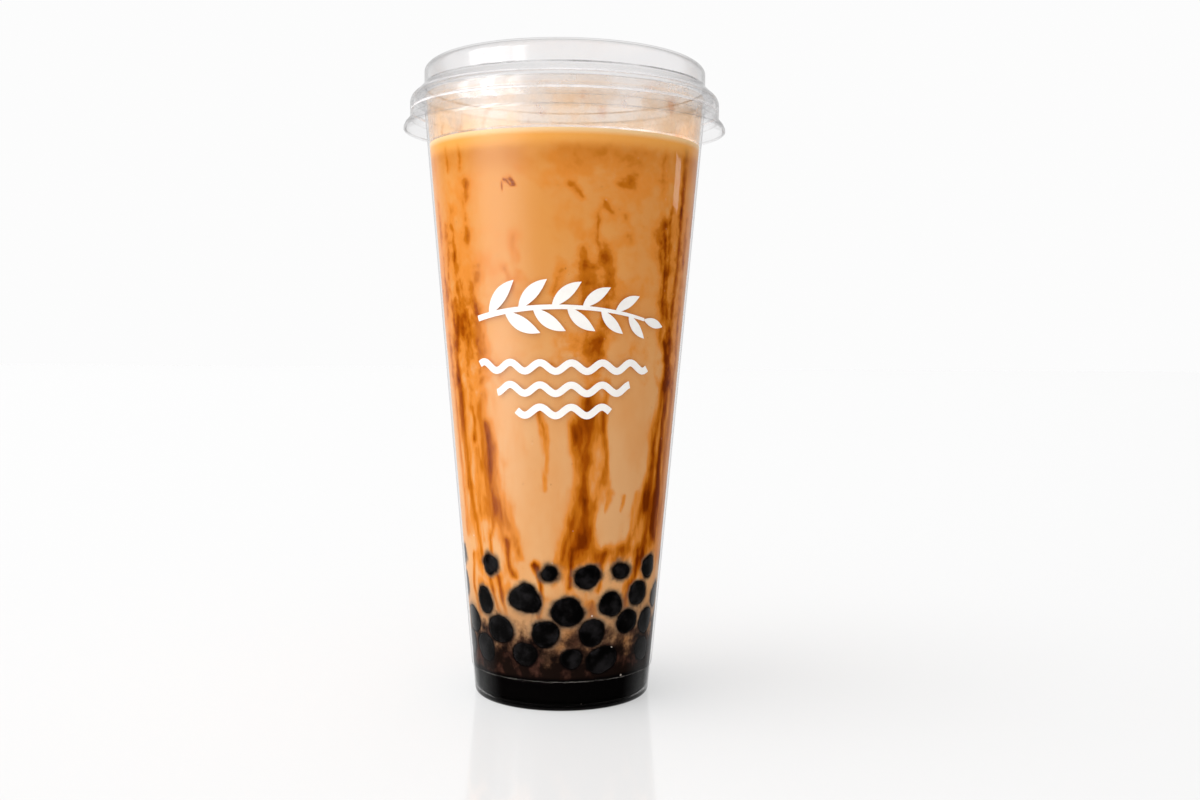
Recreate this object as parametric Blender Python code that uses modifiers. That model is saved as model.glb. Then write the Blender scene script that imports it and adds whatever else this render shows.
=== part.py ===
# Bubble tea in a clear plastic cup with a clear lid clipped over its rim.
# Metres, +Z up, the origin at the middle of the foot's resting plane, the front towards -Y.
import math
import random

import bmesh
import bpy
from mathutils import Matrix, Vector

MM = 0.001
SIDES = 48                      # facets round a turned piece
GAP = 0.3 * MM                  # space left between neighbouring pieces

# Cup: a tapered injection-moulded wall on a low foot ring, with a rim rolled outwards
BASE_RADIUS = 28.2 * MM         # where the wall's straight taper meets the resting plane
WALL_TAPER = 0.0865             # growth of the radius for each unit of height
WALL = 0.8 * MM
FOOT_BAND = 9.4 * MM            # height of the slightly narrower band round the base
FOOT_STEP = 0.35 * MM
FOOT_CORNER = 1.3 * MM
FOOT_RING_INNER = 24.2 * MM
FLOOR_RECESS = 0.6 * MM
FLOOR_THICKNESS = 0.9 * MM
FLOOR_CORNER = 2.0 * MM
RIM_CENTRE = (45.25 * MM, 186.9 * MM)
RIM_BEAD = 1.55 * MM

# Lid: raised top on a sloping shoulder, a band that clips over the rim, and a flared skirt
LID_TOP = 199.2 * MM
LID_WALL = 0.6 * MM
LID_RAISED_RADIUS = 44.1 * MM
LID_CORNER_RUN = 8.5 * MM        # the top's edge rounds off slowly inwards and fast downwards
LID_CORNER_DROP = 3.9 * MM
LID_LEDGE = 190.7 * MM
LID_BAND_RADIUS = 48.5 * MM
LID_BAND_TOP = 185.6 * MM
LID_SHOULDER_CORNER = 3.4 * MM
LID_BAND_BOTTOM = 180.9 * MM
LID_SKIRT_RADIUS = 50.5 * MM
LID_SKIRT_BOTTOM = 177.5 * MM

# Contents
DRINK_LEVEL = 172.9 * MM
SYRUP_TOP = 15.5 * MM           # below this the pearls lie packed in dark syrup
CORE_INSET = 3.9 * MM           # how far the heap's core stays behind the wall
CORE_SHOULDER = 39.0 * MM
CORE_CROWN = 42.5 * MM
PEARL_DIAMETER = 8.8 * MM
PEARL_SPREAD = 0.1              # how much the pearls differ in size

# Rows of pearls against the wall: the row's height, then each pearl that shows at the front,
# with its azimuth in degrees, its height and its diameter
PEARL_ROWS = (
    (24.6 * MM, (
        (-68, 25.5 * MM, 9.4 * MM), (-39, 24.3 * MM, 9.8 * MM), (-10, 23.9 * MM, 9.4 * MM),
        (18, 24.4 * MM, 9.2 * MM), (42, 26.0 * MM, 8.6 * MM), (61, 25.2 * MM, 8.8 * MM))),
    (33.4 * MM, (
        (-81, 35.8 * MM, 8.4 * MM), (-51, 32.5 * MM, 8.7 * MM), (-21, 34.6 * MM, 10.2 * MM),
        (3, 30.8 * MM, 10.4 * MM), (29, 33.1 * MM, 8.4 * MM), (50, 34.8 * MM, 8.5 * MM),
        (73, 32.6 * MM, 8.3 * MM))),
    (43.2 * MM, (
        (-44, 44.4 * MM, 8.2 * MM), (-7, 43.4 * MM, 7.8 * MM), (14, 41.7 * MM, 8.9 * MM),
        (34, 43.3 * MM, 8.7 * MM), (59, 43.5 * MM, 8.4 * MM))),
)
ROW_SPACING = 28                # degrees between the pearls further round
LOOSE_TOP_PEARLS = 7
BALL_SIDES = 8                  # facets round a pearl
BALL_BANDS = 5


def clear_scene():
    for old in list(bpy.data.objects):
        bpy.data.objects.remove(old, do_unlink=True)


def collection(name):
    group = bpy.data.collections.new(name)
    bpy.context.scene.collection.children.link(group)
    return group


def material(name, colour, roughness, alpha=1.0):
    finish = bpy.data.materials.new(name)
    finish.use_nodes = True
    shader = finish.node_tree.nodes["Principled BSDF"]
    shader.inputs["Base Color"].default_value = (*colour, 1.0)
    shader.inputs["Roughness"].default_value = roughness
    shader.inputs["Metallic"].default_value = 0.0
    shader.inputs["Alpha"].default_value = alpha
    return finish


def wall_radius(height):
    return BASE_RADIUS + WALL_TAPER * height


def inner_radius(height):
    return wall_radius(height) - WALL


def arc(centre, radius, start, stop, steps, rise=None):
    """Points of an arc in the profile plane, with its angles in degrees from +X.

    A rise other than the radius makes it a part of an ellipse.
    """
    points = []
    for step in range(steps + 1):
        angle = math.radians(start + (stop - start) * step / steps)
        across = centre[0] + radius * math.cos(angle)
        points.append((across, centre[1] + (rise or radius) * math.sin(angle)))
    return points


def turned(name, outline, group):
    """Turn a profile, given from the axis round the piece and back to the axis, about Z."""
    mesh = bpy.data.meshes.new(name)
    edges = [(index, index + 1) for index in range(len(outline) - 1)]
    mesh.from_pydata([(x, 0.0, z) for x, z in outline], edges, [])
    piece = bpy.data.objects.new(name, mesh)
    group.objects.link(piece)
    screw = piece.modifiers.new("turn", "SCREW")
    screw.steps = SIDES
    screw.render_steps = SIDES
    screw.use_merge_vertices = True
    screw.merge_threshold = 0.00001
    return piece


def applied(piece):
    """Replace a piece's mesh with what its modifiers make of it."""
    graph = bpy.context.evaluated_depsgraph_get()
    graph.update()
    mesh = bpy.data.meshes.new_from_object(piece.evaluated_get(graph))
    piece.modifiers.clear()
    piece.data = mesh


def keep_largest_body(piece):
    """Drop the loose scraps that a cut can leave."""
    shape = bmesh.new()
    shape.from_mesh(piece.data)
    bodies = []
    unseen = set(shape.verts)
    while unseen:
        stack = [unseen.pop()]
        body = set(stack)
        while stack:
            for edge in stack.pop().link_edges:
                for vert in edge.verts:
                    if vert in unseen:
                        unseen.discard(vert)
                        body.add(vert)
                        stack.append(vert)
        bodies.append(body)
    largest = max(bodies, key=len)
    scraps = [vert for body in bodies if body is not largest for vert in body]
    bmesh.ops.delete(shape, geom=scraps, context="VERTS")
    shape.to_mesh(piece.data)
    shape.free()


def combine(piece, group, operation):
    change = piece.modifiers.new(operation.lower(), "BOOLEAN")
    change.operation = operation
    change.operand_type = "COLLECTION"
    change.collection = group
    applied(piece)


def finish(piece, look, sharp_angle=35):
    piece.data.materials.clear()
    piece.data.materials.append(look)
    piece.data.shade_smooth()
    piece.data.set_sharp_from_angle(angle=math.radians(sharp_angle))


def cup(group, look):
    floor_under = FLOOR_RECESS
    floor_top = floor_under + FLOOR_THICKNESS
    rim_inner = inner_radius(RIM_CENTRE[1])
    foot_radius = wall_radius(0.0) - FOOT_STEP
    outline = [(0.0, floor_top), (inner_radius(floor_top) - FLOOR_CORNER, floor_top)]
    outline.append((inner_radius(floor_top + FLOOR_CORNER), floor_top + FLOOR_CORNER))
    outline.append((rim_inner, RIM_CENTRE[1]))
    outline += arc(RIM_CENTRE, RIM_BEAD, 120, -80, 6)
    outline.append((wall_radius(RIM_CENTRE[1] - 1.6 * MM), RIM_CENTRE[1] - 1.7 * MM))
    outline.append((wall_radius(FOOT_BAND + FOOT_STEP), FOOT_BAND + FOOT_STEP))
    outline.append((wall_radius(FOOT_BAND) - FOOT_STEP, FOOT_BAND))
    corner = (foot_radius - FOOT_CORNER, FOOT_CORNER)
    outline += arc(corner, FOOT_CORNER, 0, -90, 3)
    outline.append((FOOT_RING_INNER, 0.0))
    outline.append((FOOT_RING_INNER - floor_under, floor_under))
    outline.append((0.0, floor_under))
    piece = turned("cup", outline, group)
    applied(piece)
    finish(piece, look)
    return piece


def lid_side(inset):
    """The lid's side from the top corner down to the skirt's lower edge, moved inwards by inset."""
    shoulder = (LID_BAND_RADIUS - LID_SHOULDER_CORNER, LID_BAND_TOP)
    corner = (LID_RAISED_RADIUS - LID_CORNER_RUN, LID_TOP - LID_CORNER_DROP)
    side = arc(corner, LID_CORNER_RUN - inset, 90, 0, 5, LID_CORNER_DROP - inset)
    side.append((LID_RAISED_RADIUS - inset, LID_LEDGE - inset * 0.4))
    side += arc(shoulder, LID_SHOULDER_CORNER - inset, 68, 0, 4)
    side.append((LID_BAND_RADIUS - inset, LID_BAND_BOTTOM - inset * 0.3))
    side.append((LID_SKIRT_RADIUS - inset * 1.2, LID_SKIRT_BOTTOM + 1.3 * MM))
    side.append((LID_SKIRT_RADIUS - inset, LID_SKIRT_BOTTOM))
    return side


def lid(group, look):
    outline = [(0.0, LID_TOP)] + lid_side(0.0)
    outline += list(reversed(lid_side(LID_WALL)))
    outline.append((0.0, LID_TOP - LID_WALL))
    piece = turned("lid", outline, group)
    applied(piece)
    finish(piece, look)
    return piece


def core_outline(grow):
    """The top of the heap's core from the wall to the axis, moved outwards by grow."""
    side_low = inner_radius(SYRUP_TOP) - CORE_INSET + grow
    side_high = inner_radius(CORE_SHOULDER) - CORE_INSET + grow
    return [
        (inner_radius(SYRUP_TOP) - GAP, SYRUP_TOP + grow),
        (side_low, SYRUP_TOP + 0.8 * MM + grow),
        (side_high, CORE_SHOULDER + grow),
        (side_high - 3 * MM, CORE_SHOULDER + 1.8 * MM + grow),
        (side_high * 0.5, CORE_CROWN - 0.6 * MM + grow),
        (0.0, CORE_CROWN + grow),
    ]


def pearl_places():
    """Centre and radius of each pearl that shows: the front ones, then seeded ones further round."""
    chance = random.Random(7)
    places = []

    def against_wall(azimuth, height, diameter):
        reach = inner_radius(height) - GAP - diameter / 2
        turn = math.radians(azimuth)
        centre = Vector((reach * math.sin(turn), -reach * math.cos(turn), height))
        places.append((centre, diameter / 2))

    def uneven_diameter():
        return PEARL_DIAMETER * (1 + chance.uniform(-PEARL_SPREAD, PEARL_SPREAD))

    for row_height, front in PEARL_ROWS:
        for azimuth, height, diameter in front:
            against_wall(azimuth, height, diameter)
        azimuth = front[-1][0] + ROW_SPACING
        while azimuth < 360 + front[0][0] - 0.7 * ROW_SPACING:
            height = row_height + chance.uniform(-1.6, 1.6) * MM
            against_wall(azimuth + chance.uniform(-4, 4), height, uneven_diameter())
            azimuth += ROW_SPACING
    golden = math.radians(137.5)
    for index in range(LOOSE_TOP_PEARLS):
        spread = 19 * MM * math.sqrt((index + 0.4) / LOOSE_TOP_PEARLS)
        height = CORE_CROWN + chance.uniform(-1.0, 1.2) * MM
        turn = index * golden
        centre = Vector((spread * math.sin(turn), -spread * math.cos(turn), height))
        places.append((centre, uneven_diameter() / 2))
    return places


def pearl_balls(places, grow, group, name):
    """One many-sided ball for each pearl, each turned its own way."""
    for index, (centre, radius) in enumerate(places):
        mesh = bpy.data.meshes.new(f"{name}_{index}")
        shape = bmesh.new()
        bmesh.ops.create_uvsphere(shape, u_segments=BALL_SIDES, v_segments=BALL_BANDS, radius=radius + grow)
        turn = Matrix.Rotation(index * 0.7, 3, Vector((1, 0.4, 0.2)))
        bmesh.ops.rotate(shape, verts=shape.verts, matrix=turn)
        bmesh.ops.translate(shape, verts=shape.verts, vec=centre)
        shape.to_mesh(mesh)
        shape.free()
        group.objects.link(bpy.data.objects.new(f"{name}_{index}", mesh))


def tapioca_pearls(group, look, places):
    """The heap: a core as wide as the cup in the syrup, with the pearls that show fused on."""
    floor_top = FLOOR_RECESS + FLOOR_THICKNESS + GAP
    corner = inner_radius(floor_top + FLOOR_CORNER) - GAP
    outline = list(reversed(core_outline(0.0)))
    outline.append((corner, floor_top + FLOOR_CORNER))
    outline.append((corner - FLOOR_CORNER - GAP, floor_top))
    outline.append((0.0, floor_top))
    piece = turned("tapioca_pearls", outline, group)
    applied(piece)
    loose = collection("loose pearls")
    pearl_balls(places, 0.0, loose, "pearl")
    combine(piece, loose, "UNION")
    for ball in list(loose.objects):
        bpy.data.objects.remove(ball, do_unlink=True)
    bpy.data.collections.remove(loose)
    keep_largest_body(piece)
    finish(piece, look, 60)
    return piece


def milk_tea(group, cutters, look, places):
    """The drink up to its level, over the heap's core and cut round each pearl."""
    top_radius = inner_radius(DRINK_LEVEL) - GAP
    underside = core_outline(GAP)
    outline = [(0.0, DRINK_LEVEL), (top_radius, DRINK_LEVEL)]
    outline += underside
    piece = turned("milk_tea", outline, group)
    applied(piece)
    pearl_balls(places, GAP, cutters, "pearl_cut")
    for cutter in cutters.objects:
        cutter.hide_render = True
        cutter.display_type = "WIRE"
    combine(piece, cutters, "DIFFERENCE")
    keep_largest_body(piece)
    finish(piece, look, 50)
    return piece


def build():
    clear_scene()
    parts = collection("bubble tea")
    cutters = collection("cutters")
    places = pearl_places()
    cup(parts, material("clear cup", (0.95, 0.95, 0.95), 0.12, 0.25))
    lid(parts, material("clear lid", (0.97, 0.97, 0.97), 0.05, 0.2))
    tapioca_pearls(parts, material("dark tapioca", (0.008, 0.006, 0.005), 0.3), places)
    milk_tea(parts, cutters, material("milk tea", (0.76, 0.43, 0.19), 0.35), places)


build()
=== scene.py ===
# Bubble tea in a clear cup: the finished look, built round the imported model
import math
import random

import bmesh
import bpy
import numpy as np
from mathutils import Matrix, Vector, noise


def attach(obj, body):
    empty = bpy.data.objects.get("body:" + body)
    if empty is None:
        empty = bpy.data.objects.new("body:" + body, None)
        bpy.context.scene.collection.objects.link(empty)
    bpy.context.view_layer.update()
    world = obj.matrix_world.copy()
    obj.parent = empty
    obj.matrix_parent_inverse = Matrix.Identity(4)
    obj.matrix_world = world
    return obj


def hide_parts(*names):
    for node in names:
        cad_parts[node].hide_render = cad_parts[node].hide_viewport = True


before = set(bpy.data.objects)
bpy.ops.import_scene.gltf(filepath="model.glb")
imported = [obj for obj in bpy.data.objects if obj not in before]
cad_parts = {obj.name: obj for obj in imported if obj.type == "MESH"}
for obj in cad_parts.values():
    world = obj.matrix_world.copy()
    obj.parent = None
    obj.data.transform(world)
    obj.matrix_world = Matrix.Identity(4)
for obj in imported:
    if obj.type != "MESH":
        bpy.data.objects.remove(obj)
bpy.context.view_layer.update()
mm = 0.001


# Small helpers for turned shapes

def arcPoints(centre, radius, start, stop, steps, rise=None):
    # angles in degrees, from +X in the profile plane; a rise of its own makes part of an ellipse
    turns = [math.radians(start + (stop - start) * i / steps) for i in range(steps + 1)]
    return [(centre[0] + radius * math.cos(a), centre[1] + (rise or radius) * math.sin(a)) for a in turns]


def spunMesh(name, outline, steps):
    # the outline runs from the axis over the outer side and back, in metres
    shape = bmesh.new()
    points = [shape.verts.new((x, 0, z)) for x, z in outline]
    for a, b in zip(points, points[1:]):
        shape.edges.new((a, b))
    bmesh.ops.spin(shape, geom=shape.verts[:] + shape.edges[:], cent=(0, 0, 0), axis=(0, 0, 1),
                   angle=math.tau, steps=steps, use_merge=True)
    bmesh.ops.remove_doubles(shape, verts=shape.verts, dist=0.000002)
    bmesh.ops.recalc_face_normals(shape, faces=shape.faces)
    return pieceFromShape(name, shape)


def newObject(name, data):
    made = bpy.data.objects.new(name, data)
    bpy.context.scene.collection.objects.link(made)
    return made


def pieceFromShape(name, shape, sharpAngle=40):
    mesh = bpy.data.meshes.new(name)
    shape.to_mesh(mesh)
    shape.free()
    mesh.shade_smooth()
    mesh.set_sharp_from_angle(angle=math.radians(sharpAngle))
    return newObject(name, mesh)


# Material helpers: a node is made, placed in a row and wired in one line

evenRadius, cloudyStretch = 35 * mm, 0.9
white = (1, 1, 1, 1)


class NodeSheet:
    def __init__(self, name, world=False):
        self.owner = bpy.data.worlds.new(name) if world else bpy.data.materials.new(name)
        self.owner.use_nodes = True
        self.tree = self.owner.node_tree
        self.tree.nodes.clear()
        self.output = self.tree.nodes.new("ShaderNodeOutputWorld" if world else "ShaderNodeOutputMaterial")
        self.count = 0

    def wire(self, socket, value):
        if isinstance(value, bpy.types.NodeSocket):
            self.tree.links.new(value, socket)
        else:
            socket.default_value = value

    def add(self, kind, inputs=None, **settings):
        node = self.tree.nodes.new(kind)
        node.location = (self.count * 180 - 3000, 0)
        self.count += 1
        for key, value in settings.items():
            setattr(node, key, value)
        for key, value in (inputs or {}).items():
            self.wire(node.inputs[key], value)
        return node

    def math(self, operation, a, b=0.0):
        return self.add("ShaderNodeMath", {0: a, 1: b}, operation=operation).outputs[0]

    def vector(self, operation, a, b=(0, 0, 0)):
        return self.add("ShaderNodeVectorMath", {0: a, 1: b}, operation=operation).outputs[0]

    def step(self, value, low, high, toLow=0.0, toHigh=1.0):
        node = self.add("ShaderNodeMapRange", {"Value": value, "From Min": low, "From Max": high,
                                               "To Min": toLow, "To Max": toHigh})
        node.interpolation_type = "SMOOTHSTEP"
        return node.outputs["Result"]

    def mix(self, share, a, b):
        node = self.add("ShaderNodeMix", data_type="RGBA", clamp_factor=True)
        for key, value in ((0, share), (6, a), (7, b)):
            self.wire(node.inputs[key], value)
        return node.outputs[2]

    def noise(self, place, scale, detail=4.0, roughness=0.55, output="Fac"):
        return self.add("ShaderNodeTexNoise", {"Vector": place, "Scale": scale, "Detail": detail,
                                               "Roughness": roughness}).outputs[output]

    def times(self, a, b):
        return self.math("MULTIPLY", a, b)

    def shader(self, kind, inputs):
        return self.add("ShaderNodeBsdf" + kind, inputs).outputs[0]

    def blend(self, share, a, b):
        return self.add("ShaderNodeMixShader", {0: share, 1: a, 2: b}).outputs[0]

    def place(self):
        return self.add("ShaderNodeTexCoord").outputs["Object"]

    def height(self, place):
        return self.add("ShaderNodeSeparateXYZ", {0: place}).outputs["Z"]

    def along(self, place, stretch, cloudyFrom=None):
        # the place rolled onto an even cylinder, so that a pattern runs straight up the wall; from a certain
        # height on, it is hardly drawn out
        flat = self.vector("NORMALIZE", self.vector("MULTIPLY", place, (1, 1, 0)))
        upright = self.vector("MULTIPLY", place, (0, 0, stretch))
        if cloudyFrom:
            rise = self.math("MAXIMUM", self.math("SUBTRACT", self.height(place), cloudyFrom), 0.0)
            rise = self.times(rise, cloudyStretch - stretch)
            upright = self.vector("ADD", upright, self.add("ShaderNodeCombineXYZ", {"Z": rise}).outputs[0])
        return self.vector("ADD", self.vector("MULTIPLY", flat, (evenRadius, evenRadius, 0)), upright)

    def attribute(self, name):
        return self.add("ShaderNodeAttribute", attribute_name=name).outputs["Fac"]

    def finish(self, shader):
        self.tree.links.new(shader, self.output.inputs["Surface"])
        return self.owner


def linear(red, green, blue):
    # a colour as read off a screen, from 0 to 255, turned into Blender's linear values
    parts = [c / 255 for c in (red, green, blue)]
    return tuple(c / 12.92 if c <= 0.04045 else ((c + 0.055) / 1.055) ** 2.4 for c in parts) + (1.0,)


# Cup

cupValues = {
    "baseRadius": 28.2 * mm, "taper": 0.0865, "wall": 0.8 * mm, "sides": 240,
    "footBand": 9.4 * mm, "footStep": 0.35 * mm, "footCorner": 1.3 * mm, "footRing": 24.2 * mm,
    "floorRecess": 0.6 * mm, "floor": 0.9 * mm, "floorCorner": 2.0 * mm,
    "rimCentre": (45.25 * mm, 186.9 * mm), "rimBead": 1.55 * mm, "rimArc": (150, -80), "rimSteps": 14,
    "innerFrom": 5 * mm, "innerSteps": 24, "underRim": 1.7 * mm, "outerSteps": 30,
    "stepRun": (0.5 * mm, 0.15 * mm, 0.1 * mm), "level": 172.9 * mm, "residueTop": 187 * mm,
    # tint face on, painted shade where the wall turns away and where that starts, a whitish veil that is a
    # painted reflection of the backdrop, and roughness
    "outside": {"tint": white, "edgeShade": (0.66, 0.63, 0.63, 1), "edgeFrom": 0.84, "edgeReflection": 0.12,
                "roughness": 0.04},
    "inside": {"tint": white, "edgeShade": (0.9, 0.9, 0.9, 1), "edgeFrom": 0.86, "edgeReflection": 0.05,
               "roughness": 0.06},
    "wetShine": 0.08, "dryShine": 0.9, "wetEdge": 1 * mm,
    # steps go from one place to another, then give the values below and above
    "filmStart": (0.2 * mm, 0.9 * mm), "filmFade": 6 * mm, "filmAtTop": 0.45,
    "patchNoise": (75.0, 5.0, 0.6), "patches": (0.36, 0.66, 0.38, 0.84), "filmColour": linear(255, 214, 170),
    "markStretch": 0.6, "markNoise": (190.0, 4.0), "marks": (0.55, 0.74), "markColour": linear(234, 166, 104),
    "footDark": (1.6 * mm, 2.6 * mm, 0.97, 0.0), "darkColour": linear(5, 4, 4),
    # the pale lines are painted: a highlight on the step and a reflection of the floor along the bottom edge
    "stepHighlight": (0.05 * mm, 0.34 * mm, 0.2, 0.0), "footReflection": (0.15 * mm, 0.5 * mm, 0.12, 0.0),
    "lineNoise": (120.0, 3.0), "lineBreaks": (0.35, 0.65, 0.35, 1.0), "highlightLineColour": linear(205, 198, 190),
}

plasticValues = {
    # the veil's colour: a painted reflection of the backdrop at the turned edge
    "reflectionVeil": (0.86, 0.84, 0.84, 1), "flatTopEdge": (0.3 * mm, 0.15), "lampShade": (0.98, 0.98, 0.98, 1),
    "waveStretch": 0.12, "waveNoise": (170.0, 2.0), "bump": 0.12, "bumpDepth": 0.6 * mm,
    "glossPower": 5.0, "glossFaceOn": 0.04, "glossTurned": 0.96,
}


def wallRadius(height):
    return cupValues["baseRadius"] + cupValues["taper"] * height


def innerRadius(height):
    return wallRadius(height) - cupValues["wall"]


def clearPlastic(name, look, film=None, shine=None, flatTop=None):
    # clear face on; where it turns away, a grey tint, painted shade for the dark that the edge reflects and
    # refracts, and a whitish veil, a painted reflection of the backdrop; gloss rises as on any plastic
    v = plasticValues
    sheet = NodeSheet(name)
    place = sheet.place()
    facing = sheet.add("ShaderNodeLayerWeight", {"Blend": 0.5}).outputs["Facing"]
    edge = sheet.step(facing, look["edgeFrom"], 1.0)
    if flatTop:                                            # a flat top seen at a low angle stays clear
        rise, share = v["flatTopEdge"]
        edge = sheet.times(edge, sheet.step(sheet.height(place), flatTop - rise, flatTop, 1.0, share))
    # painted shade: the see-through colour greys towards the turned edge
    tint = sheet.mix(edge, look["tint"], look["edgeShade"])
    through = sheet.shader("Transparent", {"Color": tint})
    # painted reflection: a whitish diffuse veil at the turned edge stands for the backdrop reflected there
    reflectionVeil = sheet.shader("Diffuse", {"Color": v["reflectionVeil"]})
    clear = sheet.blend(sheet.times(edge, look["edgeReflection"]), through, reflectionVeil)
    if film:
        clear = film(sheet, place, clear)
    waves = sheet.noise(sheet.along(place, v["waveStretch"]), *v["waveNoise"])
    wavy = sheet.add("ShaderNodeBump", {"Strength": v["bump"], "Distance": v["bumpDepth"],
                                        "Height": waves}).outputs[0]
    shiny = sheet.shader("Glossy", {"Color": white, "Roughness": look["roughness"], "Normal": wavy})
    turned = sheet.times(sheet.math("POWER", facing, v["glossPower"]), v["glossTurned"])
    gloss = sheet.math("ADD", turned, v["glossFaceOn"])
    if shine:
        gloss = sheet.times(gloss, shine(sheet, place))
    glossy = sheet.blend(gloss, clear, shiny)
    # lamps shine through, so that the drink behind isn't in shade
    shadow = sheet.add("ShaderNodeLightPath").outputs["Is Shadow Ray"]
    lampWay = sheet.shader("Transparent", {"Color": v["lampShade"]})
    return sheet.finish(sheet.blend(shadow, glossy, lampWay))


def residueFilm(sheet, place, clear):
    # a thin uneven film of milk tea on the wall above the drink, browner in a few dried marks
    v = cupValues
    height = sheet.height(place)
    above = sheet.step(height, *[v["level"] + rise for rise in v["filmStart"]])
    below = sheet.step(height, v["residueTop"] - v["filmFade"], v["residueTop"], 1.0, v["filmAtTop"])
    patches = sheet.step(sheet.noise(place, *v["patchNoise"]), *v["patches"])
    share = sheet.times(sheet.times(above, below), patches)
    marks = sheet.step(sheet.noise(sheet.along(place, v["markStretch"]), *v["markNoise"]), *v["marks"])
    colour = sheet.mix(marks, v["filmColour"], v["markColour"])
    film = sheet.shader("Diffuse", {"Color": colour})
    return sheet.blend(share, clear, film)


def dryWallShine(sheet, place):
    # the inside of the wall hardly shines where the drink wets it
    v = cupValues
    level = v["level"]
    return sheet.step(sheet.height(place), level, level + v["wetEdge"], v["wetShine"], v["dryShine"])


def footDetail(sheet, place, clear):
    # painted highlight: a thin pale line where the moulded step catches the light, and a pale line along the
    # bottom edge as a painted reflection of the floor; the solid foot carries the dark of the drink
    v = cupValues
    height = sheet.height(place)
    dark = sheet.shader("Diffuse", {"Color": v["darkColour"]})
    clear = sheet.blend(sheet.step(height, *v["footDark"]), clear, dark)
    away = sheet.math("ABSOLUTE", sheet.math("SUBTRACT", height, v["footBand"]))
    broken = sheet.step(sheet.noise(place, *v["lineNoise"]), *v["lineBreaks"])
    line = sheet.times(sheet.step(away, *v["stepHighlight"]), broken)
    pale = sheet.shader("Diffuse", {"Color": v["highlightLineColour"]})
    clear = sheet.blend(line, clear, pale)
    # painted reflection of the floor along the bottom edge
    return sheet.blend(sheet.step(height, *v["footReflection"]), clear, pale)


def makeCup():
    v = cupValues
    floorTop = v["floorRecess"] + v["floor"]
    footRadius = wallRadius(0) - v["footStep"]
    corner = v["floorCorner"]
    outline = [(0, floorTop)]
    outline += arcPoints((innerRadius(floorTop + corner) - corner, floorTop + corner), corner, -90, -5, 6)
    outline += [(innerRadius(z), z) for z in np.linspace(v["innerFrom"], v["rimCentre"][1], v["innerSteps"])]
    outline += arcPoints(v["rimCentre"], v["rimBead"], *v["rimArc"], v["rimSteps"])
    band, outerTop = v["footBand"], v["rimCentre"][1] - v["underRim"]
    above, edge, below = v["stepRun"]
    outline += [(wallRadius(z), z) for z in np.linspace(outerTop, band + above, v["outerSteps"])]
    outline += [(wallRadius(band + below), band + edge), (wallRadius(band) - v["footStep"], band - below)]
    outline += arcPoints((footRadius - v["footCorner"], v["footCorner"]), v["footCorner"], 0, -90, 6)
    ring, recess = v["footRing"], v["floorRecess"]
    outline += [(ring, 0), (ring - recess, recess), (0, recess)]
    piece = spunMesh("clearCup", outline, v["sides"])
    piece.data.materials.append(clearPlastic("clear cup plastic", v["outside"], footDetail))
    inside = clearPlastic("inside of the cup wall", v["inside"], residueFilm, dryWallShine)
    piece.data.materials.append(inside)
    for face in piece.data.polygons:
        middle = face.center
        if math.hypot(middle.x, middle.y) < wallRadius(middle.z) - 0.6 * v["wall"] and middle.z > 2 * mm:
            face.material_index = 1
    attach(piece, "root")
    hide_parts("cup")


# Lid

lidValues = {
    "top": 199.2 * mm, "wall": 0.5 * mm, "sides": 240,
    "raisedRadius": 44.1 * mm, "cornerRun": 8.5 * mm, "cornerDrop": 3.9 * mm,
    "ledge": 190.7 * mm, "ledgeEnd": 0.7 * mm, "ledgeRound": 0.8 * mm, "ledgeTurn": (190, 245),
    "bandRadius": 48.5 * mm, "bandTop": 185.6 * mm, "shoulderCorner": 3.4 * mm, "shoulderFrom": 62,
    "groove": 183.4 * mm, "grooveDepth": 0.3 * mm, "grooveHalves": (0.5 * mm, 0.2 * mm),
    "bandBottom": 180.9 * mm, "flare": 0.25 * mm, "flareAbove": 0.6 * mm, "flareBelow": 0.2 * mm,
    "skirtRadius": 50.5 * mm, "skirtBottom": 177.5 * mm, "lip": 0.5 * mm, "lipRise": (1.8 * mm, 0.7 * mm),
    # the lid's grey edge is painted shade and its whitish veil a painted reflection
    "look": {"tint": (1, 0.997, 0.998, 1), "edgeShade": (0.36, 0.34, 0.35, 1), "edgeFrom": 0.8,
             "edgeReflection": 0.04, "roughness": 0.05},
    "topShine": 0.22, "topEdge": 0.4 * mm,
    # the height of each line of light or shade, its half width, grey and strength
    "lightAndShadeLines": (
        (191.2 * mm, 0.38 * mm, 0.2, 0.75), (188.4 * mm, 0.35 * mm, 0.95, 0.6),
        (186.6 * mm, 0.3 * mm, 0.35, 0.3), (183.4 * mm, 0.5 * mm, 1.0, 0.85),
        (181.2 * mm, 0.3 * mm, 0.35, 0.25), (178.2 * mm, 0.3 * mm, 0.25, 0.3)),
    "lineNoise": (70.0, 3.0), "lineBreaks": (0.32, 0.62, 0.25, 1.0), "lineCore": 0.3, "lineWarmth": 0.97,
}


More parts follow.
